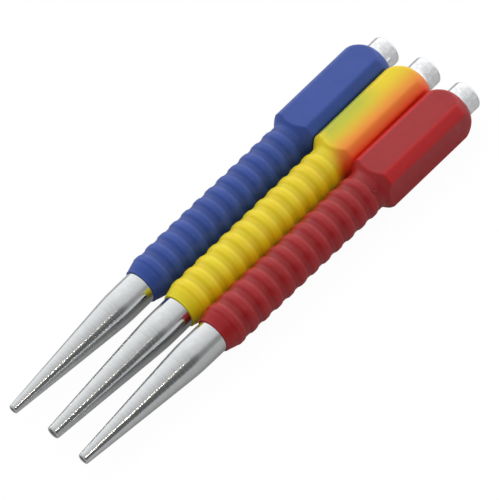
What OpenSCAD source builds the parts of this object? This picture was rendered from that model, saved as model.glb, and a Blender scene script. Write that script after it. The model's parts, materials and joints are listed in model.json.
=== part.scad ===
// A set of three nail setters lying side by side, tips towards -X and struck heads towards +X.
// Each one is a plated steel punch held in a moulded plastic grip with twelve ribs and a chamfered square block.
// Millimetres, +Z up. The origin is under the middle of the set, on the surface that it lies on.

/* [Set] */
// Gap between the middle tool and the one at its left, where they come closest
left_gap = 0.4; // [0.1:0.05:5]
// Gap between the middle tool and the one at its right, where they come closest
right_gap = 0.14; // [0.1:0.02:5]
// How far the left tool turns away from the middle one, in degrees
left_turn = 0.36; // [0:0.02:2]
// How far the right tool turns away from the middle one, in degrees
right_turn = 1.1; // [0:0.02:2]
// How far the left tool's tip stands out in front of the middle one
left_lead = 0.4; // [0:0.1:4]
// How far the right tool's tip stands out in front of the middle one
right_lead = 1; // [0:0.1:4]
// How far forward the middle tool's grip sits on its bar, against the other two
middle_grip_lead = 0.4; // [0:0.05:1.5]

/* [Punch] */
// Diameter of the steel bar
bar_d = 8; // [7:0.1:10]
// Length of the long taper behind the tip
taper_l = 32.3; // [20:0.1:60]
// How much longer the left tool's taper is
left_taper_extra = 0.45; // [0:0.05:3]
// Length of plain bar between the taper and the grip
shank_l = 7.7; // [4:0.1:30]
// Length of plain bar that shows between the grip and the struck head
collar_l = 0.4; // [0.1:0.05:2]
// Length of the struck head, which is turned down below the bar
stub_l = 4.1; // [2:0.1:12]
// How far the struck head is turned down, on each side
stub_step = 0.2; // [0.2:0.05:0.8]
// Chamfer on the edge of the struck head
head_chamfer = 0.5; // [0.2:0.1:1.2]
// Diameter of the left tool's tip
left_tip_d = 2.2; // [1.6:0.1:4]
// Diameter of the middle tool's tip
middle_tip_d = 3.1; // [1.6:0.1:4]
// Diameter of the right tool's tip
right_tip_d = 2.6; // [1.6:0.1:4]
// Width of the rim around the cup in each tip
cup_rim = 0.35; // [0.2:0.05:0.6]
// Chamfer on the outer edge of each tip
tip_chamfer = 0.12; // [0.05:0.01:0.18]

/* [Grip] */
// Thickness of the wall at the front lip
lip_wall = 0.4; // [0.3:0.05:0.7]
// Length of the straight lip
lip_l = 0.3; // [0.1:0.1:1]
// Distance from the front of the grip to the middle of the first rib
first_rib = 3.8; // [3:0.1:12]
// Thickness of the wall at the ribs
rib_wall = 1.32; // [1.1:0.02:1.7]
// Depth of the grooves between the ribs
groove_depth = 0.3; // [0.1:0.02:0.6]
// Number of ribs
rib_count = 12; // [2:1:24]
// Distance from one rib to the next
rib_pitch = 3.94; // [2:0.02:8]
// Length of the plain neck between the last groove and the block's front shoulder
neck_l = 1.7; // [1:0.1:10]

/* [Block] */
// Thickness of the wall at the middle of the block's flats
block_wall = 1.8; // [1.5:0.05:4]
// Width of each of the four main flats
flat_w = 7.8; // [5:0.1:9.5]
// Rounding along the block's long edges
edge_r = 0.35; // [0.1:0.05:1]
// Length of the turned shoulder in front of the block
front_shoulder_l = 1.9; // [1:0.1:8]
// Length of the block's full section
block_l = 24.6; // [10:0.1:60]
// Length of the domed shoulder behind the block
rear_shoulder_l = 3.5; // [1:0.1:8]
// Thickness of the wall at the rear end of the grip
rear_wall = 0.5; // [0.3:0.05:1]

/* [Moulding mark] */
// Diameter of the small moulding mark that stands on the neck
gate_d = 1.5; // [0.4:0.1:1.6]
// How far the moulding mark stands out of the neck
gate_h = 0.15; // [0.1:0.05:0.4]

/* [Hidden] */
$fn = 96;
// Overrun of a cut past the surface that it opens
over = 1;
// How far the turned shoulders' outline runs past the block's corners
corner_over = 0.05;
// Turns of the moulding mark away from the top of each grip, towards the right
left_gate_turn = 225;
middle_gate_turn = 225;
right_gate_turn = 45;
// Depth of the cup in a tip, as a share of the cup's radius
cup_depth_share = 0.4;
// Straight steps in each rounded corner of the block's section, and in the rear shoulder
corner_steps = 4;
dome_steps = 8;
// Roundness of the rear shoulder: 1 is a straight cone and 2 a quarter of an ellipse
dome_power = 1.35;
// One rib from groove to groove: place along the pitch, and depth as a share of the groove's depth
rib_shares = [
    [-0.36, 1], [-0.29, 0.85], [-0.22, 0.48], [-0.15, 0.12], [-0.09, 0],
    [0.11, 0], [0.18, 0.12], [0.26, 0.48], [0.34, 0.86], [0.42, 1]
];
// Entry of the table above that is the front end of a rib's crest
crest_front = 4;

bar_r = bar_d / 2;
stub_r = bar_r - stub_step;
lip_r = bar_r + lip_wall;
rib_r = bar_r + rib_wall;
neck_r = rib_r - groove_depth;
rear_r = bar_r + rear_wall;
block_w = 2 * (bar_r + block_wall);

// Places along the tool, from the tip
grip_front = taper_l + shank_l;
rib_1 = grip_front + first_rib;
neck_start = rib_1 + (rib_count - 0.5) * rib_pitch;
shoulder_start = neck_start + neck_l;
block_front = shoulder_start + front_shoulder_l;
block_rear = block_front + block_l;
block_mid = (block_front + block_rear) / 2;
grip_rear = block_rear + rear_shoulder_l;
stub_start = grip_rear + collar_l;
punch_l = stub_start + stub_l;

// The turned outline at the block's corners, and where the front shoulder meets the middle of a flat
corner_r = norm([block_w, flat_w]) / 2 + corner_over;
flat_front = shoulder_start + front_shoulder_l * (block_w / 2 - neck_r) / (corner_r - neck_r);

// A tool rests on the front end of the block's lower flat and on the underside of its first rib
rib_foot = rib_1 + rib_shares[crest_front][0] * rib_pitch;
tilt = atan((block_w / 2 - rib_r) / (flat_front - rib_foot));

// Sideways distance between two tools that keeps the gap both at the blocks and at the first ribs
function spacing(gap, turn) = gap + max(
    block_w + (block_mid - flat_front) * sin(turn),
    2 * rib_r + (block_mid - rib_foot) * sin(turn)
);
left_offset = spacing(left_gap, left_turn);
right_offset = spacing(right_gap, right_turn);

// Middle of the whole set
set_mid_x = (punch_l - max(left_lead + left_taper_extra, right_lead)) / 2;
set_mid_y = (left_offset - right_offset) / 2;

// Turns an outline drawn as [radius, place] points into a solid around the tool's axis
module turned(points) {
    rotate([0, 90, 0]) rotate_extrude() polygon(points);
}

// Points of a circular arc
function arc(centre, r, from, to, steps) = [
    for (i = [0:steps])
        let (a = from + (to - from) * i / steps) centre + r * [cos(a), sin(a)]
];

// A point turned about the middle
function turn_point(p, a) = [p[0] * cos(a) - p[1] * sin(a), p[0] * sin(a) + p[1] * cos(a)];

// Outline of the block's section: a square with chamfered corners and softened edges
function block_outline() = [
    for (quarter = [0, 90, 180, 270], upper = [false, true])
        let (
            corner = turn_point(upper ? [flat_w, block_w] / 2 : [block_w, flat_w] / 2, quarter),
            from = quarter + (upper ? 45 : 0),
            middle = from + 22.5,
            centre = corner - edge_r / cos(22.5) * [cos(middle), sin(middle)]
        )
        each arc(centre, edge_r, from, from + 45, corner_steps)
];

module punch(tip_d, taper_extra) {
    tip_r = tip_d / 2;
    cup_r = tip_r - cup_rim;
    cup_depth = cup_r * cup_depth_share;
    ball_r = (cup_r * cup_r + cup_depth * cup_depth) / (2 * cup_depth);
    difference() {
        turned([
            [0, -taper_extra],
            [tip_r - tip_chamfer, -taper_extra],
            [tip_r, tip_chamfer - taper_extra],
            [bar_r, taper_l],
            [bar_r, stub_start],
            [stub_r, stub_start],
            [stub_r, punch_l - head_chamfer],
            [stub_r - head_chamfer, punch_l],
            [0, punch_l]
        ]);
        translate([cup_depth - ball_r - taper_extra, 0, 0]) sphere(r = ball_r);
    }
}

// Lip, flare, ribs and neck
module ribbed_sleeve() {
    ribs = [
        for (k = [0:rib_count - 1], share = rib_shares)
            [rib_r - groove_depth * share[1], rib_1 + (k + share[0]) * rib_pitch]
    ];
    turned(concat(
        [[0, grip_front], [lip_r, grip_front], [lip_r, grip_front + lip_l]],
        ribs,
        [[neck_r, neck_start], [neck_r, block_front], [0, block_front]]
    ));
}

// Chamfered square block, turned down at its front and rear
module block() {
    dome = [
        for (i = [0:dome_steps])
            let (along = sin(90 * i / dome_steps), in = pow(1 - pow(along, dome_power), 1 / dome_power))
                [rear_r + (corner_r - rear_r) * in, block_rear + rear_shoulder_l * along]
    ];
    intersection() {
        turned(concat(
            [[0, shoulder_start], [neck_r, shoulder_start], [corner_r, block_front]],
            dome,
            [[0, grip_rear]]
        ));
        translate([shoulder_start - over, 0, 0])
            rotate([0, 90, 0])
                linear_extrude(height = grip_rear - shoulder_start + 2 * over)
                    polygon(block_outline());
    }
}

// Small moulding mark on the neck
module gate_mark(turn) {
    root = (bar_r + neck_r) / 2;
    translate([neck_start, 0, 0])
        rotate([turn, 0, 0])
            translate([0, 0, root])
                cylinder(d = gate_d, h = neck_r - root + gate_h);
}

module grip(gate_turn) {
    difference() {
        union() {
            ribbed_sleeve();
            block();
            gate_mark(gate_turn);
        }
        translate([grip_front - over, 0, 0])
            rotate([0, 90, 0])
                cylinder(r = bar_r, h = grip_rear - grip_front + 2 * over);
    }
}

// Lays a tool down at its place in the set, on the surface, whatever the place of its grip on the bar
module laid(side, turn, lead, grip_lead) {
    axis_height = block_w / 2 * cos(tilt) - (flat_front - grip_lead) * sin(tilt);
    translate([block_mid - lead - set_mid_x, side - set_mid_y, axis_height])
        rotate([0, 0, turn])
            translate([-block_mid, 0, 0])
                rotate([0, -tilt, 0])
                    children();
}

module blue_punch() {
    color([0.80, 0.81, 0.82]) laid(left_offset, left_turn, left_lead, 0) punch(left_tip_d, left_taper_extra);
}

module blue_grip() {
    color([0.26, 0.33, 0.57]) laid(left_offset, left_turn, left_lead, 0) grip(left_gate_turn);
}

module yellow_punch() {
    color([0.80, 0.81, 0.82]) laid(0, 0, 0, middle_grip_lead) punch(middle_tip_d, 0);
}

module yellow_grip() {
    color([0.93, 0.76, 0.20])
        laid(0, 0, 0, middle_grip_lead)
            translate([-middle_grip_lead, 0, 0]) grip(middle_gate_turn);
}

module red_punch() {
    color([0.80, 0.81, 0.82]) laid(-right_offset, -right_turn, right_lead, 0) punch(right_tip_d, 0);
}

module red_grip() {
    color([0.62, 0.20, 0.20]) laid(-right_offset, -right_turn, right_lead, 0) grip(right_gate_turn);
}

blue_punch();
blue_grip();
yellow_punch();
yellow_grip();
red_punch();
red_grip();
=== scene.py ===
"""Dresses a set of three nail setters that lie side by side on a pale floor.

Each tool is a plated steel punch with a long turned taper and a cupped tip. It is held in a moulded
plastic grip with twelve ribs and a chamfered square block. The tools' places are read from the frame's
mounts. Every size is in metres.
"""

from __future__ import annotations

import json
import logging
import math
from dataclasses import dataclass, field
from enum import Enum

import bmesh
import bpy
from mathutils import Matrix, Vector

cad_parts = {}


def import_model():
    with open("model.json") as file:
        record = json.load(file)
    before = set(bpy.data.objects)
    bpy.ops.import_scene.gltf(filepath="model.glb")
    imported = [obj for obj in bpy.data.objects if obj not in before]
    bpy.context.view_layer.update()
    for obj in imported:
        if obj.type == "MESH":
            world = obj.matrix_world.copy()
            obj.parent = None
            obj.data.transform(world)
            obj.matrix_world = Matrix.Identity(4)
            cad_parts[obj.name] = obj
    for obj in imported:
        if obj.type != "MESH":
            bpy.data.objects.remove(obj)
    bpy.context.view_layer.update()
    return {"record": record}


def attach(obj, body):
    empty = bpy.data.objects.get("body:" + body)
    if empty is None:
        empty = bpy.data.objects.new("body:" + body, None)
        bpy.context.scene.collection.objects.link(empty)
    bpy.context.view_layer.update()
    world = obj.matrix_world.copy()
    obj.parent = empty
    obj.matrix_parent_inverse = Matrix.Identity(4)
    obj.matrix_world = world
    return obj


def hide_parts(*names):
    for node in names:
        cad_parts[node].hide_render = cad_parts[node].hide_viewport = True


LOG = logging.getLogger("nail_setters")
MM = 0.001
WELD_DISTANCE = 0.0005 * MM
# The part of a noise pattern's range that nearly all of its values lie in
NOISE_MIDDLE = (0.3, 0.7)

Node = bpy.types.Node
Socket = bpy.types.NodeSocket
# A node and the number of one of its outputs
Source = tuple[Node, int]
Span = tuple[float, float]
Outline = list[tuple[float, float]]
Way = tuple[float, float, float]
Colour = tuple[float, float, float]


def linear(red: int, green: int, blue: int) -> Colour:
    """Turns a display colour into the linear light that a shader takes.

    Args:
        red: Red from 0 to 255.
        green: Green from 0 to 255.
        blue: Blue from 0 to 255.

    Returns:
        The linear colour, from 0 to 1.
    """
    shares = (red / 255, green / 255, blue / 255)
    return tuple(s / 12.92 if s <= 0.04045 else ((s + 0.055) / 1.055) ** 2.4 for s in shares)


def ease(share: float) -> float:
    """Returns a smooth step from 0 to 1 for a share that runs from 0 to 1."""
    held = min(max(share, 0.0), 1.0)
    return held * held * (3 - 2 * held)


def spread(start: float, end: float, steps: int) -> list[float]:
    """Returns steps + 1 even places from start to end."""
    return [start + (end - start) * i / steps for i in range(steps + 1)]


def corner_arc(centre: Span, radius: float, start: float, end: float, steps: int) -> Outline:
    """Draws an arc of an outline.

    Args:
        centre: Place and radius of the arc's centre.
        radius: The arc's own radius.
        start: First angle in degrees, from the direction of the tool's axis towards its outside.
        end: Last angle in degrees.
        steps: How many straight steps the arc is drawn with.

    Returns:
        The arc's points as (place, radius) pairs.
    """
    angles = [math.radians(a) for a in spread(start, end, steps)]
    return [(centre[0] + radius * math.cos(a), centre[1] + radius * math.sin(a)) for a in angles]


class ToolColour(Enum):
    """The three tools of the set, by the colour of their grips."""

    BLUE = "blue"
    YELLOW = "yellow"
    RED = "red"


class NodeBuilder:
    """Adds shader nodes to one material and joins them."""

    def __init__(self, material: bpy.types.Material) -> None:
        """Empties the material's tree and gives it an output and a surface shader.

        Args:
            material: The material that is being made.
        """
        material.use_nodes = True
        self.tree = material.node_tree
        self.tree.nodes.clear()
        self.output = self.tree.nodes.new("ShaderNodeOutputMaterial")
        self.surface = self.tree.nodes.new("ShaderNodeBsdfPrincipled")
        self.join(self.surface, "BSDF", self.output, "Surface")

    def add(self, kind: str, **values: object) -> Node:
        """Adds a node.

        Args:
            kind: The node's type name.
            **values: Properties of the node.

        Returns:
            The new node.
        """
        node = self.tree.nodes.new(kind)
        for name, value in values.items():
            setattr(node, name, value)
        return node

    def join(self, source: Node, out: str | int, target: Node, into: str | int) -> None:
        """Links one node's output to another node's input."""
        self.tree.links.new(source.outputs[out], target.inputs[into])

    def place(self, seat: Matrix) -> Node:
        """Gives the tool's own coordinates, with x running along it from the tip.

        Args:
            seat: The matrix that lays the tool down.

        Returns:
            A node whose Vector output holds the coordinates.
        """
        coordinates = self.add("ShaderNodeTexCoord")
        mapping = self.add("ShaderNodeMapping", vector_type="TEXTURE")
        mapping.inputs["Location"].default_value = seat.to_translation()
        mapping.inputs["Rotation"].default_value = seat.to_euler()
        self.join(coordinates, "Object", mapping, "Vector")
        return mapping

    def axes(self, place: Node) -> Node:
        """Splits the tool's own coordinates, into the outputs X, Y and Z."""
        node = self.add("ShaderNodeSeparateXYZ")
        self.join(place, "Vector", node, "Vector")
        return node

    def radius(self, place: Node) -> Node:
        """Gives the distance from the tool's axis, in the Value output."""
        node = self.add("ShaderNodeVectorMath", operation="LENGTH")
        self.join(self.stretch(place, (0.0, 1.0, 1.0)), "Vector", node, 0)
        return node

    def noise(self, vector: Node, scale: float, detail: float = 2.0, rough: float = 0.5) -> Node:
        """Adds a noise pattern of the given scale, in cells to the metre."""
        node = self.add("ShaderNodeTexNoise")
        node.inputs["Scale"].default_value = scale
        node.inputs["Detail"].default_value = detail
        node.inputs["Roughness"].default_value = rough
        self.join(vector, "Vector", node, "Vector")
        return node

    def stretch(self, vector: Node, factors: Way) -> Node:
        """Scales coordinates by a factor for each axis."""
        node = self.add("ShaderNodeVectorMath", operation="MULTIPLY")
        self.join(vector, "Vector", node, 0)
        node.inputs[1].default_value = factors
        return node

    def combine(self, operation: str, first: Node, second: Node) -> Node:
        """Works out one step of arithmetic on two nodes' first outputs, into the Value output."""
        node = self.add("ShaderNodeMath", operation=operation)
        self.join(first, 0, node, 0)
        self.join(second, 0, node, 1)
        return node

    def span(self, source: Node, out: str | int, given: Span, wanted: Span) -> Node:
        """Maps a range of values to another range, smoothly and held at the ends.

        Args:
            source: The node that gives the value.
            out: Which of its outputs is read.
            given: The values that the range starts and ends at.
            wanted: What they become.

        Returns:
            A node whose Result output holds the new value.
        """
        node = self.add("ShaderNodeMapRange", interpolation_type="SMOOTHSTEP")
        self.join(source, out, node, "Value")
        node.inputs["From Min"].default_value, node.inputs["From Max"].default_value = given
        node.inputs["To Min"].default_value, node.inputs["To Max"].default_value = wanted
        return node

    def mix(self, factor: Node, out: str | int, first: Colour | Source, second: Colour | Source) -> Node:
        """Mixes two colours.

        Args:
            factor: The node that gives the share of the second colour.
            out: Which of its outputs is read.
            first: A linear colour, or the node and output that give one.
            second: The same for the other colour.

        Returns:
            A node whose Result_Color output holds the mixture.
        """
        node = self.add("ShaderNodeMix", data_type="RGBA")
        self.join(factor, out, node, "Factor")
        for side, value in (("A", first), ("B", second)):
            socket = next(s for s in node.inputs if s.name == side and s.type == "RGBA")
            if isinstance(value[0], Node):
                self.tree.links.new(value[0].outputs[value[1]], socket)
            else:
                socket.default_value = (*value, 1.0)
        return node

    def bump(self, height: Node, out: str | int, depth: float, before: Node | None = None) -> Node:
        """Raises the surface by a pattern.

        Args:
            height: The node that gives the pattern.
            out: Which of its outputs is read.
            depth: Height of the pattern in metres.
            before: An earlier bump that this one is laid over.

        Returns:
            The bump node.
        """
        node = self.add("ShaderNodeBump")
        node.inputs["Distance"].default_value = depth
        self.join(height, out, node, "Height")
        if before is not None:
            self.join(before, "Normal", node, "Normal")
        return node


def mixed(node: Node) -> Source:
    """Returns a colour mix node and the number of its colour output."""
    return node, next(i for i, s in enumerate(node.outputs) if s.type == "RGBA")


@dataclass(frozen=True)
class PlatedSteel:
    """Bright plating over turned steel, with faint clouds, streaks along the bar and turning rings.

    The streaks and the rings are one noise pattern each, squeezed by a factor for each axis. The plating
    is fresher at the head, and the inside of the cup at the tip is darker, which is painted shade.
    """

    bright: Colour = linear(216, 218, 218)
    dull: Colour = linear(210, 211, 212)
    worn: Colour = linear(172, 173, 174)
    fresh: Colour = linear(240, 240, 241)
    # Painted shade: a darker colour inside the cup in the tip
    cup_shade: Colour = linear(128, 126, 122)
    roughness: Span = (0.09, 0.19)
    cloud_scale: float = 700.0
    streaks: Way = (60.0, 2600.0, 2600.0)
    streak_depth: float = 0.004 * MM
    rings: Way = (3200.0, 90.0, 90.0)
    ring_depth: float = 0.003 * MM
    ring_noise: Span = (0.5, 0.72)
    ring_share: float = 0.22
    head_span: Span = (100 * MM, 118 * MM)
    tip_span: Span = (1.5 * MM, 2.5 * MM)
    cup_edge: Span = (0.92, 1.03)

    def material(self, name: str, seat: Matrix, cup_r: float) -> bpy.types.Material:
        """Makes the finish for one tool.

        Args:
            name: The material's name.
            seat: The matrix that lays the tool down.
            cup_r: Radius of the cup in the tip, where painted shade darkens the steel.

        Returns:
            The new material.
        """
        made = bpy.data.materials.new(name)
        build = NodeBuilder(made)
        place = build.place(seat)
        axes = build.axes(place)
        clouds = build.noise(place, self.cloud_scale, detail=5.0, rough=0.6)
        along = build.noise(build.stretch(place, self.streaks), 1.0, detail=3.0, rough=0.6)
        around = build.noise(build.stretch(place, self.rings), 1.0, detail=3.0, rough=0.7)
        at_head = build.span(axes, "X", self.head_span, (0.0, 1.0))
        plating = build.mix(at_head, "Result", self.bright, self.fresh)
        cloudy = build.span(clouds, "Fac", NOISE_MIDDLE, (0.0, 1.0))
        tone = build.mix(cloudy, "Result", mixed(plating), self.dull)
        in_ring = build.span(around, "Fac", self.ring_noise, (0.0, self.ring_share))
        ringed = build.mix(in_ring, "Result", mixed(tone), self.worn)
        # Painted shade: a darker colour inside the cup in the tip
        inner, outer = (share * cup_r for share in self.cup_edge)
        inside = build.span(build.radius(place), "Value", (inner, outer), (1.0, 0.0))
        near_tip = build.span(axes, "X", self.tip_span, (1.0, 0.0))
        in_cup_shade = build.combine("MULTIPLY", inside, near_tip)
        dressed = build.mix(in_cup_shade, "Value", mixed(ringed), self.cup_shade)
        build.join(*mixed(dressed), build.surface, "Base Color")
        rough = build.span(along, "Fac", NOISE_MIDDLE, self.roughness)
        build.join(rough, "Result", build.surface, "Roughness")
        streaked = build.bump(along, "Fac", self.streak_depth)
        bump = build.bump(around, "Fac", self.ring_depth, before=streaked)
        build.join(bump, "Normal", build.surface, "Normal")
        build.surface.inputs["Metallic"].default_value = 1.0
        return made


@dataclass(frozen=True)
class MouldedPlastic:
    """Satin moulded plastic with a fine grain, faint clouds in its colour, painted shade and painted
    light.

    The painted shade darkens the grooves and the neck. Its spans are radii, and places along the tool
    where it starts and ends. The painted light brightens the block's chamfers.
    """

    light: Colour
    deep: Colour
    roughness: Span = (0.34, 0.46)
    cloud_scale: float = 140.0
    scuff_scale: float = 560.0
    grain_scale: float = 5200.0
    grain_depth: float = 0.010 * MM
    refraction: float = 1.46
    subsurface: float = 0.0
    subsurface_reach: float = 2.6 * MM
    # Painted shade in the grooves and on the neck: the share of the colour that is left, and the radii
    # it fades over
    groove_shade_share: float = 0.84
    groove_shade_span: Span = (5.03 * MM, 5.16 * MM)
    first_rib: Span = (43.2 * MM, 44.2 * MM)
    neck_end: Span = (90.4 * MM, 91.6 * MM)
    # Painted light: a fuller colour on the block's chamfers, where more light falls
    corner: Colour | None = None
    chamfer_light_span: Span = (6.55 * MM, 6.85 * MM)

    def colours(self, build: NodeBuilder, place: Node) -> Source:
        """Mixes the plastic's colour.

        Args:
            build: The material's node builder.
            place: The node that gives the tool's own coordinates.

        Returns:
            The node and output that hold the colour.
        """
        clouds = build.noise(place, self.cloud_scale, detail=3.0)
        blend = build.span(clouds, "Fac", NOISE_MIDDLE, (0.0, 1.0))
        return mixed(build.mix(blend, "Result", self.light, self.deep))

    def painted_light_and_shade(self, build: NodeBuilder, place: Node) -> Source:
        """Paints shade into the colour in the grooves and on the neck, and paints light onto the block's
        chamfers.

        Args:
            build: The material's node builder.
            place: The node that gives the tool's own coordinates.

        Returns:
            The node and output that hold the colour.
        """
        colour = self.colours(build, place)
        axes = build.axes(place)
        radius = build.radius(place)
        # Painted light on the block's chamfers
        if self.corner is not None:
            in_chamfer_light = build.span(radius, "Value", self.chamfer_light_span, (0.0, 1.0))
            colour = mixed(build.mix(in_chamfer_light, "Result", colour, self.corner))
        # Painted shade in the grooves and on the neck, left out before the first rib and on the block
        level = build.span(radius, "Value", self.groove_shade_span, (self.groove_shade_share, 1.0))
        for ends, shares in ((self.first_rib, (1.0, 0.0)), (self.neck_end, (0.0, 1.0))):
            level = build.combine("MAXIMUM", level, build.span(axes, "X", ends, shares))
        shaded_colour = build.add("ShaderNodeVectorMath", operation="SCALE")
        build.join(*colour, shaded_colour, 0)
        build.join(level, "Value", shaded_colour, "Scale")
        return shaded_colour, 0

    def material(self, name: str, seat: Matrix) -> bpy.types.Material:
        """Makes the finish for one tool.

        Args:
            name: The material's name.
            seat: The matrix that lays the tool down.

        Returns:
            The new material.
        """
        made = bpy.data.materials.new(name)
        build = NodeBuilder(made)
        place = build.place(seat)
        build.join(*self.painted_light_and_shade(build, place), build.surface, "Base Color")
        scuffs = build.noise(place, self.scuff_scale, detail=5.0, rough=0.6)
        rough = build.span(scuffs, "Fac", NOISE_MIDDLE, self.roughness)
        build.join(rough, "Result", build.surface, "Roughness")
        grain = build.noise(place, self.grain_scale)
        bump = build.bump(grain, "Fac", self.grain_depth)
        build.join(bump, "Normal", build.surface, "Normal")
        build.surface.inputs["IOR"].default_value = self.refraction
        build.surface.inputs["Subsurface Weight"].default_value = self.subsurface
        build.surface.inputs["Subsurface Scale"].default_value = self.subsurface_reach
        return made


@dataclass(frozen=True)
class MarbledPlastic(MouldedPlastic):
    """Yellow plastic whose block runs from green at the left, over orange, to red at the right.

    The colours' spans are measured across the block, from left to right. The block's own span and the
    green's fade are places along the tool.
    """

    green: Colour = linear(187, 199, 54)
    orange: Colour = linear(251, 139, 34)
    red: Colour = linear(250, 66, 28)
    across: Way = (0.0, -1.0, -0.35)
    block_span: Span = (88.5 * MM, 92.5 * MM)
    block_slant: float = 0.45
    fade_span: Span = (104 * MM, 113.5 * MM)
    green_span: Span = (-7.2 * MM, 1.2 * MM)
    orange_span: Span = (-4.6 * MM, 2.4 * MM)
    red_span: Span = (1.4 * MM, 5.2 * MM)

    def colours(self, build: NodeBuilder, place: Node) -> Source:
        """Mixes the plastic's colour, with the block's change of colour laid over the plain one.

        Args:
            build: The material's node builder.
            place: The node that gives the tool's own coordinates.

        Returns:
            The node and output that hold the colour.
        """
        plain = super().colours(build, place)
        axes = build.axes(place)
        across = build.add("ShaderNodeVectorMath", operation="DOT_PRODUCT")
        build.join(place, "Vector", across, 0)
        across.inputs[1].default_value = self.across
        slanted = build.add("ShaderNodeMath", operation="MULTIPLY_ADD")
        build.join(across, "Value", slanted, 0)
        slanted.inputs[1].default_value = self.block_slant
        build.join(axes, "X", slanted, 2)
        in_block = build.span(slanted, "Value", self.block_span, (0.0, 1.0))
        left = build.span(across, "Value", self.green_span, (1.0, 0.0))
        fading = build.span(axes, "X", self.fade_span, (1.0, 0.0))
        middle = build.span(across, "Value", self.orange_span, (0.0, 1.0))
        right = build.span(across, "Value", self.red_span, (0.0, 1.0))
        greened = build.combine("MULTIPLY", left, fading)
        first = build.mix(middle, "Result", plain, self.orange)
        second = build.mix(greened, "Value", mixed(first), self.green)
        third = build.mix(right, "Result", mixed(second), self.red)
        return mixed(build.mix(in_block, "Result", plain, mixed(third)))


@dataclass
class ToolSeat:
    """Where one tool lies in the set."""

    colour: ToolColour
    matrix: Matrix

    @classmethod
    def from_record(cls, record: dict, colour: ToolColour, length: float) -> ToolSeat:
        """Reads the place from the frame's mounts on the struck face and the lower flat.

        Args:
            record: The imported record.
            colour: Which tool is meant.
            length: The tool's length from tip to struck face.

        Returns:
            The tool's seat.
        """
        mounts = {m["name"]: m for m in record["mounts"]}
        face = mounts[f"{colour.value}_struck_face"]
        along = Vector(face["axis"]).normalized()
        up = -Vector(mounts[f"{colour.value}_block_flat"]["axis"]).normalized()
        side = up.cross(along)
        tip = Vector(face["pos_m"]) - along * length
        turned = Matrix((along, side, up)).transposed().to_4x4()
        return cls(colour, Matrix.Translation(tip) @ turned)

    @property
    def body(self) -> str:
        """Returns the name of the body that the tool's pieces ride on."""
        return f"{self.colour.value}_tool"


def revolve(bm: bmesh.types.BMesh, outline: Outline, steps: int, closed: bool = False) -> None:
    """Spins an outline about the tool's axis.

    Args:
        bm: The mesh that the surface is added to.
        outline: The outline's (place, radius) points.
        steps: How many steps the full turn takes.
        closed: Whether the last point joins the first one.
    """
    verts = [bmesh.ops.create_vert(bm, co=(x, 0.0, r))["vert"][0] for x, r in outline]
    pairs = list(zip(verts, verts[1:] + verts[:1] if closed else verts[1:]))
    edges = [bm.edges.new(pair) for pair in pairs]
    bmesh.ops.spin(
        bm,
        geom=verts + edges,
        cent=(0, 0, 0),
        axis=(1, 0, 0),
        angle=math.tau,
        steps=steps,
        use_merge=True,
    )


def finished(
    bm: bmesh.types.BMesh, name: str, seat: ToolSeat, material: bpy.types.Material
) -> bpy.types.Object:
    """Turns a mesh under construction into a piece that lies in its seat.

    Args:
        bm: The mesh, in the tool's own coordinates.
        name: The piece's name.
        seat: Where the tool lies.
        material: The piece's finish.

    Returns:
        The new object, with its place in its mesh.
    """
    bmesh.ops.remove_doubles(bm, verts=bm.verts, dist=WELD_DISTANCE)
    bmesh.ops.recalc_face_normals(bm, faces=bm.faces)
    bmesh.ops.transform(bm, matrix=seat.matrix, verts=bm.verts)
    for face in bm.faces:
        face.smooth = True
    mesh = bpy.data.meshes.new(name)
    bm.to_mesh(mesh)
    bm.free()
    mesh.materials.append(material)
    piece = bpy.data.objects.new(name, mesh)
    bpy.context.scene.collection.objects.link(piece)
    LOG.info("%s: %d faces", name, len(mesh.polygons))
    return piece


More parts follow.
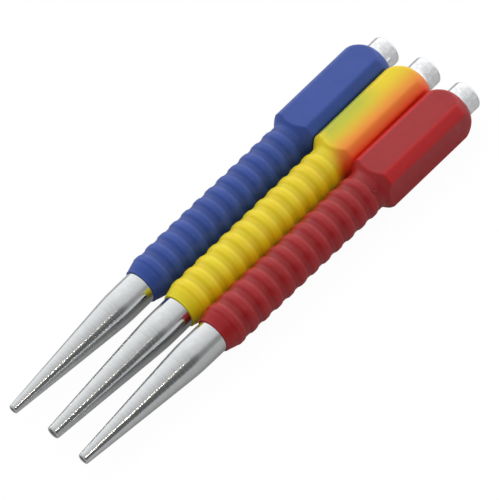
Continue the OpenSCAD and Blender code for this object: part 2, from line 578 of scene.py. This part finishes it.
@dataclass
class Grip:
    """The moulded grip: lip, flare, ribs, neck and block in one piece.

    The ribs' flanks are shares of their pitch, from a rib's middle to the groove and to the crest. The
    gate is the small round moulding mark, and its dimple is in shares of the mark's radius and height.
    """

    front: float = 40.0 * MM
    lead: float = 0.0
    bore_r: float = 4.0 * MM
    lip_r: float = 4.4 * MM
    lip_l: float = 0.3 * MM
    lip_round: float = 0.12 * MM
    lip_steps: int = 4
    flare_steps: int = 6
    first_rib: float = 3.8 * MM
    rib_r: float = 5.32 * MM
    groove_depth: float = 0.3 * MM
    rib_count: int = 12
    rib_pitch: float = 3.94 * MM
    rib_steps: int = 20
    front_flank: Span = (0.36, 0.09)
    rear_flank: Span = (0.42, 0.11)
    neck_l: float = 1.7 * MM
    block_half: float = 5.8 * MM
    flat_half: float = 3.9 * MM
    front_shoulder_l: float = 1.9 * MM
    block_l: float = 24.6 * MM
    rear_shoulder_l: float = 3.5 * MM
    rear_r: float = 4.5 * MM
    dome_power: float = 1.35
    corner_over: float = 0.05 * MM
    fillet: float = 0.4 * MM
    shoulder_steps: int = 42
    block_steps: int = 12
    dome_steps: int = 26
    bore_steps: int = 8
    edge_power: float = 54.0
    turn_steps: int = 256
    gate_r: float = 0.75 * MM
    gate_h: float = 0.15 * MM
    gate_round: float = 0.1875 * MM
    gate_round_steps: int = 3
    gate_dimple: tuple[Span, ...] = ((0.45, 1.0), (0.3, 0.6), (0.0, 0.5))
    gate_turn: float = 225.0
    gate_steps: int = 24

    @property
    def neck_r(self) -> float:
        """Returns the radius of the neck, which is that of the grooves' floors."""
        return self.rib_r - self.groove_depth

    @property
    def neck_start(self) -> float:
        """Returns the place where the last groove runs into the neck."""
        return self.front + self.first_rib + (self.rib_count - 0.5) * self.rib_pitch

    @property
    def shoulder_start(self) -> float:
        """Returns the place where the front shoulder starts."""
        return self.neck_start + self.neck_l

    @property
    def block_front(self) -> float:
        """Returns the place where the block's full section starts."""
        return self.shoulder_start + self.front_shoulder_l

    @property
    def block_rear(self) -> float:
        """Returns the place where the block's full section ends."""
        return self.block_front + self.block_l

    @property
    def rear(self) -> float:
        """Returns the place of the grip's rear end."""
        return self.block_rear + self.rear_shoulder_l

    @property
    def corner_r(self) -> float:
        """Returns the radius that the shoulders are turned up to."""
        return math.hypot(self.block_half, self.flat_half) + self.corner_over

    def rib_depth(self, share: float) -> float:
        """Returns how far the surface lies below the crest, at a share of the pitch from a rib."""
        foot, crest = self.front_flank if share < 0 else self.rear_flank
        return self.groove_depth * ease((abs(share) - crest) / (foot - crest))

    def lip_outline(self) -> Outline:
        """Draws the front end from the bore to the end of the straight lip."""
        lip_centre = (self.front + self.lip_round, self.lip_r - self.lip_round)
        return [
            (self.front, self.bore_r),
            (self.front, (self.bore_r + self.lip_r) / 2),
            *corner_arc(lip_centre, self.lip_round, 180, 90, self.lip_steps),
            (self.front + self.lip_l, self.lip_r),
        ]

    def rib_outline(self) -> Outline:
        """Draws the flare and the ribs, up to the floor of the last groove."""
        points: Outline = []
        for rib in range(self.rib_count):
            middle = self.front + self.first_rib + rib * self.rib_pitch
            start = -self.front_flank[0] if rib == 0 else -0.5
            for share in spread(start, 0.5, self.rib_steps)[:-1]:
                points.append((middle + share * self.rib_pitch, self.rib_r - self.rib_depth(share)))
        lip_end = (self.front + self.lip_l, self.lip_r)
        flare = [
            tuple(a + (b - a) * s for a, b in zip(lip_end, points[0]))
            for s in spread(0, 1, self.flare_steps)[1:-1]
        ]
        return flare + points

    def shoulder_radius(self, place: float) -> float:
        """Returns the radius of the turned front shoulder, which leaves the neck in a small fillet."""
        slope = (self.corner_r - self.neck_r) / self.front_shoulder_l
        ahead = place - self.shoulder_start
        risen = (ahead + math.hypot(ahead, self.fillet)) / 2
        return min(self.neck_r + slope * risen, self.corner_r)

    def dome_radius(self, share: float) -> float:
        """Returns the radius of the domed rear shoulder, at a share of its length."""
        height = (1 - share**self.dome_power) ** (1 / self.dome_power)
        return self.rear_r + (self.corner_r - self.rear_r) * height

    def block_outline(self) -> Outline:
        """Draws the neck, the turned shoulders and the rear face, as far as the bore."""
        full = self.block_front + self.fillet / 2
        rise = [
            (x, self.shoulder_radius(x)) for x in spread(self.neck_start, full, self.shoulder_steps)
        ]
        block = [(x, self.corner_r) for x in spread(full, self.block_rear, self.block_steps)[1:-1]]
        dome = [
            (self.block_rear + self.rear_shoulder_l * s, self.dome_radius(s))
            for s in (math.sin(a) for a in spread(0, math.pi / 2, self.dome_steps))
        ]
        face = [(self.rear, (self.rear_r + self.bore_r) / 2), (self.rear, self.bore_r)]
        return rise + block + dome + face

    def square_off(self, vert: bmesh.types.BMVert) -> None:
        """Draws a point of the turned envelope in to the chamfered square where that lies further in.

        The square's four flats and four chamfers meet in soft edges. A higher power makes them sharper.

        Args:
            vert: A vertex on the outside of the grip.
        """
        radius = math.hypot(vert.co.y, vert.co.z)
        turn = math.atan2(vert.co.z, vert.co.y)
        chamfer_half = (self.block_half + self.flat_half) / math.sqrt(2)
        total = 1.0
        for eighth in range(8):
            reach = self.block_half if eighth % 2 == 0 else chamfer_half
            facing = max(math.cos(turn - eighth * math.pi / 4), 0.0)
            total += (radius * facing / reach) ** self.edge_power
        shrink = total ** (-1 / self.edge_power)
        vert.co.y *= shrink
        vert.co.z *= shrink

    def add_gate_mark(self, bm: bmesh.types.BMesh) -> None:
        """Stands the small round moulding mark, with its dimple, on the neck.

        Args:
            bm: The grip's mesh.
        """
        turn = math.radians(self.gate_turn)
        out = Vector((0.0, -math.sin(turn), math.cos(turn)))
        along = Vector((1.0, 0.0, 0.0))
        foot = Vector((self.neck_start, 0.0, 0.0))
        rim = (self.gate_r - self.gate_round, self.gate_h - self.gate_round)
        outline = [
            (0.0, -self.gate_h),
            (self.gate_r, -self.gate_h),
            *corner_arc(rim, self.gate_round, 0, 90, self.gate_round_steps),
            *((self.gate_r * r, self.gate_h * h) for r, h in self.gate_dimple),
        ]
        verts = [
            bmesh.ops.create_vert(bm, co=foot + out * (self.neck_r + h) + along * r)["vert"][0]
            for r, h in outline
        ]
        edges = [bm.edges.new(pair) for pair in zip(verts, verts[1:])]
        bmesh.ops.spin(
            bm,
            geom=verts + edges,
            cent=foot,
            axis=out,
            angle=math.tau,
            steps=self.gate_steps,
            use_merge=True,
        )

    def build(self, seat: ToolSeat, finish: MouldedPlastic) -> bpy.types.Object:
        """Makes the grip.

        Args:
            seat: Where the tool lies.
            finish: The grip's plastic.

        Returns:
            The grip, which stands for the frame's own node.
        """
        name = f"{seat.colour.value}_grip"
        bm = bmesh.new()
        outline = self.lip_outline() + self.rib_outline() + self.block_outline()
        bore = [(x, self.bore_r) for x in spread(self.rear, self.front, self.bore_steps)[1:-1]]
        revolve(bm, outline + bore, self.turn_steps, closed=True)
        for vert in bm.verts:
            if vert.co.x > self.neck_start and math.hypot(vert.co.y, vert.co.z) > self.rear_r:
                self.square_off(vert)
        self.add_gate_mark(bm)
        bmesh.ops.translate(bm, vec=(-self.lead, 0.0, 0.0), verts=bm.verts)
        piece = finished(bm, f"{name}_moulding", seat, finish.material(f"{name}_plastic", seat.matrix))
        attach(piece, seat.body)
        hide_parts(name)
        return piece


@dataclass
class Punch:
    """The steel punch: cupped tip, turned taper, plain bar and struck head.

    The cup's share is its depth over its radius. The fine turning marks on the taper are three waves.
    """

    tip_r: float
    bar_r: float = 4.0 * MM
    taper_l: float = 32.3 * MM
    taper_extra: float = 0.0
    collar_l: float = 0.4 * MM
    stub_l: float = 4.1 * MM
    stub_r: float = 3.8 * MM
    head_chamfer: float = 0.5 * MM
    head_steps: int = 6
    edge: float = 0.12 * MM
    cup_rim: float = 0.35 * MM
    cup_share: float = 0.75
    cup_steps: int = 8
    tip_round: float = 0.20 * MM
    tip_steps: int = 4
    blend_l: float = 3.0 * MM
    groove_depth: float = 0.008 * MM
    groove_step: float = 0.12 * MM
    groove_periods: tuple[float, ...] = (0.43 * MM, 0.71 * MM, 1.13 * MM)
    bar_steps: int = 10
    turn_steps: int = 128

    @property
    def cup_r(self) -> float:
        """Returns the radius of the cup in the tip."""
        return self.tip_r - self.cup_rim

    def length(self, grip: Grip) -> float:
        """Returns the length from the tip to the struck face."""
        return grip.rear + self.collar_l + self.stub_l

    def cup_outline(self) -> Outline:
        """Draws the cup in the tip, from its middle to the rounded outer edge of its rim."""
        depth = self.cup_r * self.cup_share
        ball = (self.cup_r**2 + depth**2) / (2 * depth)
        half = math.degrees(math.asin(self.cup_r / ball))
        cup = corner_arc((depth - ball, 0.0), ball, 0, half, self.cup_steps)
        rim_centre = (self.tip_round, self.tip_r - self.tip_round)
        rim = corner_arc(rim_centre, self.tip_round, 180, 100, self.tip_steps)
        return [(x - self.taper_extra, r) for x, r in cup + rim]

    def taper_radius(self, place: float) -> float:
        """Returns the radius along the taper and the bar, which meet in a soft bend."""
        slope = (self.bar_r - self.tip_r) / (self.taper_l + self.taper_extra)
        short = self.taper_l - place
        return self.bar_r - slope * (short + math.hypot(short, self.blend_l / 2)) / 2

    def groove(self, place: float) -> float:
        """Returns the height of the fine turning marks on the taper at a place."""
        waves = sum(math.sin(math.tau * place / period + period / MM) for period in self.groove_periods)
        fade = ease((self.taper_l - place) / self.blend_l)
        return self.groove_depth * waves / len(self.groove_periods) * fade

    def taper_outline(self) -> Outline:
        """Draws the turned taper and its bend into the bar."""
        end = self.taper_l + self.blend_l
        start = 2 * self.tip_round - self.taper_extra
        steps = round((end - start) / self.groove_step)
        return [(x, self.taper_radius(x) + self.groove(x)) for x in spread(start, end, steps)]

    def head_outline(self, grip: Grip) -> Outline:
        """Draws the bar under the grip, the turned-down head and its struck face.

        Args:
            grip: The grip that the bar runs through.

        Returns:
            The outline from the bar to the middle of the struck face.
        """
        end = self.length(grip)
        start = grip.rear + self.collar_l
        corner = (end - self.head_chamfer, self.stub_r - self.head_chamfer)
        bar = spread(self.taper_l + self.blend_l, start - self.edge, self.bar_steps)
        return [
            *((x, self.bar_r) for x in bar[1:]),
            (start - self.edge / 3, self.bar_r - self.edge / 4),
            (start, self.stub_r),
            (start + self.edge, self.stub_r),
            (corner[0] - self.edge, self.stub_r),
            *corner_arc(corner, self.head_chamfer, 90, 0, self.head_steps),
            (end, corner[1] - self.edge),
            (end, corner[1] / 2),
            (end, 0.0),
        ]

    def build(self, seat: ToolSeat, grip: Grip, finish: PlatedSteel) -> bpy.types.Object:
        """Makes the punch.

        Args:
            seat: Where the tool lies.
            grip: The grip that the punch sits in.
            finish: The punch's plating.

        Returns:
            The punch, which stands for the frame's own node.
        """
        name = f"{seat.colour.value}_punch"
        bm = bmesh.new()
        outline = self.cup_outline() + self.taper_outline() + self.head_outline(grip)
        revolve(bm, outline, self.turn_steps)
        plating = finish.material(f"{name}_plating", seat.matrix, self.cup_r)
        piece = finished(bm, f"{name}_steel", seat, plating)
        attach(piece, seat.body)
        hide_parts(name)
        return piece


@dataclass
class NailSetter:
    """One tool of the set."""

    colour: ToolColour
    tip_r: float
    plastic: MouldedPlastic
    gate_turn: float = 225.0
    taper_extra: float = 0.0
    grip_lead: float = 0.0
    steel: PlatedSteel = field(default_factory=PlatedSteel)

    def build(self, record: dict) -> list[bpy.types.Object]:
        """Makes the tool's two pieces at their place in the set.

        Args:
            record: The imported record.

        Returns:
            The grip and the punch.
        """
        grip = Grip(gate_turn=self.gate_turn, lead=self.grip_lead)
        punch = Punch(tip_r=self.tip_r, taper_extra=self.taper_extra)
        seat = ToolSeat.from_record(record, self.colour, punch.length(grip))
        return [grip.build(seat, self.plastic), punch.build(seat, grip, self.steel)]


@dataclass(frozen=True)
class SoftBox:
    """A square lamp that shines at the set from a metre away."""

    name: str
    way: Way
    side: float
    glow: float
    tint: Colour = (1.0, 1.0, 1.0)
    mirrored: bool = True
    target: Way = (-0.04, 0.0, 0.0)
    distance: float = 1.0

    def build(self) -> bpy.types.Object:
        """Makes the lamp, with its power worked out from how bright its face is."""
        data = bpy.data.lights.new(self.name, "AREA")
        data.shape = "SQUARE"
        data.size = self.side
        data.energy = self.glow * math.pi * self.side**2
        data.color = self.tint
        lamp = bpy.data.objects.new(self.name, data)
        back = Vector(self.way).normalized() * self.distance
        lamp.location = Vector(self.target) + back
        lamp.rotation_euler = (-back).to_track_quat("-Z", "Y").to_euler()
        lamp.visible_glossy = self.mirrored
        bpy.context.scene.collection.objects.link(lamp)
        return lamp


@dataclass(frozen=True)
class RoomLight:
    """The room's soft light: even, brighter behind the set and dark towards the camera's side.

    The dark patch is round. It starts at the first of its two angles, in degrees from its middle, and is
    full at the second.
    """

    level: float = 0.60
    tint: Colour = (0.99, 1.0, 1.01)
    bright_way: Way = (0.90, 0.42, 0.08)
    bright_gain: float = 0.89
    dark_way: Way = (-0.23, -0.88, 0.43)
    dark_angles: Span = (42.0, 23.0)
    dark_share: float = 0.78

    def build(self) -> None:
        """Makes the world's shader, which the camera sees as plain white."""
        world = bpy.data.worlds.new("room")
        bpy.context.scene.world = world
        world.use_nodes = True
        nodes, links = world.node_tree.nodes, world.node_tree.links
        nodes.clear()
        ways = nodes.new("ShaderNodeTexCoord")

        def facing(way: Way) -> Socket:
            """Gives the cosine of the angle between a ray and a direction."""
            dot = nodes.new("ShaderNodeVectorMath")
            dot.operation = "DOT_PRODUCT"
            dot.inputs[1].default_value = Vector(way).normalized()
            links.new(ways.outputs["Generated"], dot.inputs[0])
            return dot.outputs["Value"]

        def step_of(operation: str, *values: Socket | float) -> Socket:
            """Works out one step of arithmetic."""
            step = nodes.new("ShaderNodeMath")
            step.operation = operation
            for socket, value in zip(step.inputs, values):
                if isinstance(value, float):
                    socket.default_value = value
                else:
                    links.new(value, socket)
            return step.outputs[0]

        lobe = step_of("MAXIMUM", facing(self.bright_way), 0.0)
        bright = step_of("MULTIPLY_ADD", lobe, self.bright_gain, self.level)
        dark = nodes.new("ShaderNodeMapRange")
        dark.interpolation_type = "SMOOTHSTEP"
        links.new(facing(self.dark_way), dark.inputs["Value"])
        outer, inner = (math.cos(math.radians(a)) for a in self.dark_angles)
        dark.inputs["From Min"].default_value = outer
        dark.inputs["From Max"].default_value = inner
        dark.inputs["To Min"].default_value = 1.0
        dark.inputs["To Max"].default_value = 1.0 - self.dark_share
        room = nodes.new("ShaderNodeBackground")
        room.inputs["Color"].default_value = (*self.tint, 1.0)
        links.new(step_of("MULTIPLY", bright, dark.outputs["Result"]), room.inputs["Strength"])
        white = nodes.new("ShaderNodeBackground")
        white.inputs["Color"].default_value = (1.0, 1.0, 1.0, 1.0)
        path = nodes.new("ShaderNodeLightPath")
        choice = nodes.new("ShaderNodeMixShader")
        output = nodes.new("ShaderNodeOutputWorld")
        links.new(path.outputs["Is Camera Ray"], choice.inputs[0])
        links.new(room.outputs[0], choice.inputs[1])
        links.new(white.outputs[0], choice.inputs[2])
        links.new(choice.outputs[0], output.inputs["Surface"])


@dataclass
class Studio:
    """The pale floor, the room's light, two soft lamps and the camera.

    To the camera the floor glows white and keeps a faint share of the set's shadow. To light the set it
    is plain paper, and reflections see a share of its glow.
    """

    room: RoomLight = field(default_factory=RoomLight)
    lamps: tuple[SoftBox, ...] = (
        SoftBox("small_lamp", (0.05, -0.60, 0.80), side=0.06, glow=34.0, tint=(1.0, 0.88, 0.74)),
        SoftBox("key_lamp", (0.30, 0.45, 0.84), side=0.5, glow=1.3, mirrored=False),
    )
    floor_half: float = 3.0
    floor_tone: float = 0.58
    shadow_share: float = 0.05
    floor_glow: float = 0.96
    mirrored_share: float = 0.10
    aim: Vector = field(default_factory=lambda: Vector((-0.63, -1.02, 4.98)) * MM)
    distance: float = 536.1 * MM
    azimuth: float = -38.06
    elevation: float = 49.56
    roll: float = -12.97
    focal_px: float = 2430.9
    image_px: float = 500.0
    sensor: float = 36.0
    clip: Span = (0.01, 20.0)

    def floor_material(self) -> bpy.types.Material:
        """Makes the floor's finish, which looks white but for soft shadows."""
        made = bpy.data.materials.new("pale_floor")
        made.use_nodes = True
        nodes, links = made.node_tree.nodes, made.node_tree.links
        nodes.clear()
        plain = nodes.new("ShaderNodeBsdfDiffuse")
        plain.inputs["Color"].default_value = (self.floor_tone,) * 3 + (1.0,)
        faint = nodes.new("ShaderNodeBsdfDiffuse")
        faint.inputs["Color"].default_value = (self.shadow_share,) * 3 + (1.0,)
        glow = nodes.new("ShaderNodeEmission")
        glow.inputs["Strength"].default_value = self.floor_glow
        seen = nodes.new("ShaderNodeAddShader")
        path = nodes.new("ShaderNodeLightPath")
        sight = path.outputs["Is Camera Ray"]
        for name in ("Is Glossy Ray", "Is Transmission Ray"):
            share = nodes.new("ShaderNodeMath")
            share.operation = "MULTIPLY_ADD"
            share.inputs[1].default_value = self.mirrored_share
            links.new(path.outputs[name], share.inputs[0])
            links.new(sight, share.inputs[2])
            sight = share.outputs[0]
        choice = nodes.new("ShaderNodeMixShader")
        output = nodes.new("ShaderNodeOutputMaterial")
        links.new(faint.outputs[0], seen.inputs[0])
        links.new(glow.outputs[0], seen.inputs[1])
        links.new(sight, choice.inputs[0])
        links.new(plain.outputs[0], choice.inputs[1])
        links.new(seen.outputs[0], choice.inputs[2])
        links.new(choice.outputs[0], output.inputs["Surface"])
        return made

    def build_floor(self) -> None:
        """Lays the floor."""
        bm = bmesh.new()
        bmesh.ops.create_grid(bm, x_segments=1, y_segments=1, size=self.floor_half)
        mesh = bpy.data.meshes.new("floor")
        bm.to_mesh(mesh)
        bm.free()
        mesh.materials.append(self.floor_material())
        floor = bpy.data.objects.new("floor", mesh)
        bpy.context.scene.collection.objects.link(floor)

    def build_camera(self) -> None:
        """Sets the camera up at the photograph's viewing angle."""
        azimuth, elevation, roll = (math.radians(a) for a in (self.azimuth, self.elevation, self.roll))
        back = Vector(
            (
                math.sin(azimuth) * math.cos(elevation),
                -math.cos(azimuth) * math.cos(elevation),
                math.sin(elevation),
            )
        )
        level = Vector((math.cos(azimuth), math.sin(azimuth), 0.0))
        upright = back.cross(level)
        right = level * math.cos(roll) + upright * math.sin(roll)
        up = back.cross(right)
        data = bpy.data.cameras.new("camera")
        data.sensor_width = self.sensor
        data.lens = self.sensor * self.focal_px / self.image_px
        data.clip_start, data.clip_end = self.clip
        camera = bpy.data.objects.new("camera", data)
        turned = Matrix((right, up, back)).transposed().to_4x4()
        camera.matrix_world = Matrix.Translation(self.aim + back * self.distance) @ turned
        bpy.context.scene.collection.objects.link(camera)
        bpy.context.scene.camera = camera

    def build(self) -> None:
        """Makes the whole studio."""
        self.build_floor()
        self.room.build()
        for lamp in self.lamps:
            lamp.build()
        self.build_camera()
        bpy.context.scene.view_settings.view_transform = "Standard"
        LOG.info("studio: floor, room, %d lamps and camera", len(self.lamps))


def the_set() -> list[NailSetter]:
    """Lists the three tools from left to right."""
    return [
        NailSetter(
            ToolColour.BLUE,
            tip_r=1.1 * MM,
            taper_extra=0.45 * MM,
            plastic=MouldedPlastic(light=linear(46, 78, 165), deep=linear(42, 74, 159)),
        ),
        NailSetter(
            ToolColour.YELLOW,
            tip_r=1.55 * MM,
            grip_lead=0.4 * MM,
            plastic=MarbledPlastic(
                light=linear(253, 224, 20),
                deep=linear(249, 218, 17),
                subsurface=0.3,
                # Lighter painted shade in the grooves and on the neck
                groove_shade_share=0.90,
            ),
        ),
        NailSetter(
            ToolColour.RED,
            tip_r=1.3 * MM,
            gate_turn=45.0,
            plastic=MouldedPlastic(
                light=linear(174, 20, 28),
                deep=linear(168, 16, 24),
                subsurface=0.3,
                # Painted light on the block's chamfers
                corner=linear(196, 12, 20),
            ),
        ),
    ]


def main() -> None:
    """Loads the frame, dresses it with the three tools and sets up the studio."""
    logging.basicConfig(level=logging.INFO, format="%(message)s")
    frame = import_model()
    for tool in the_set():
        for piece in tool.build(frame["record"]):
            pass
    Studio().build()


if __name__ == "__main__":
    main()
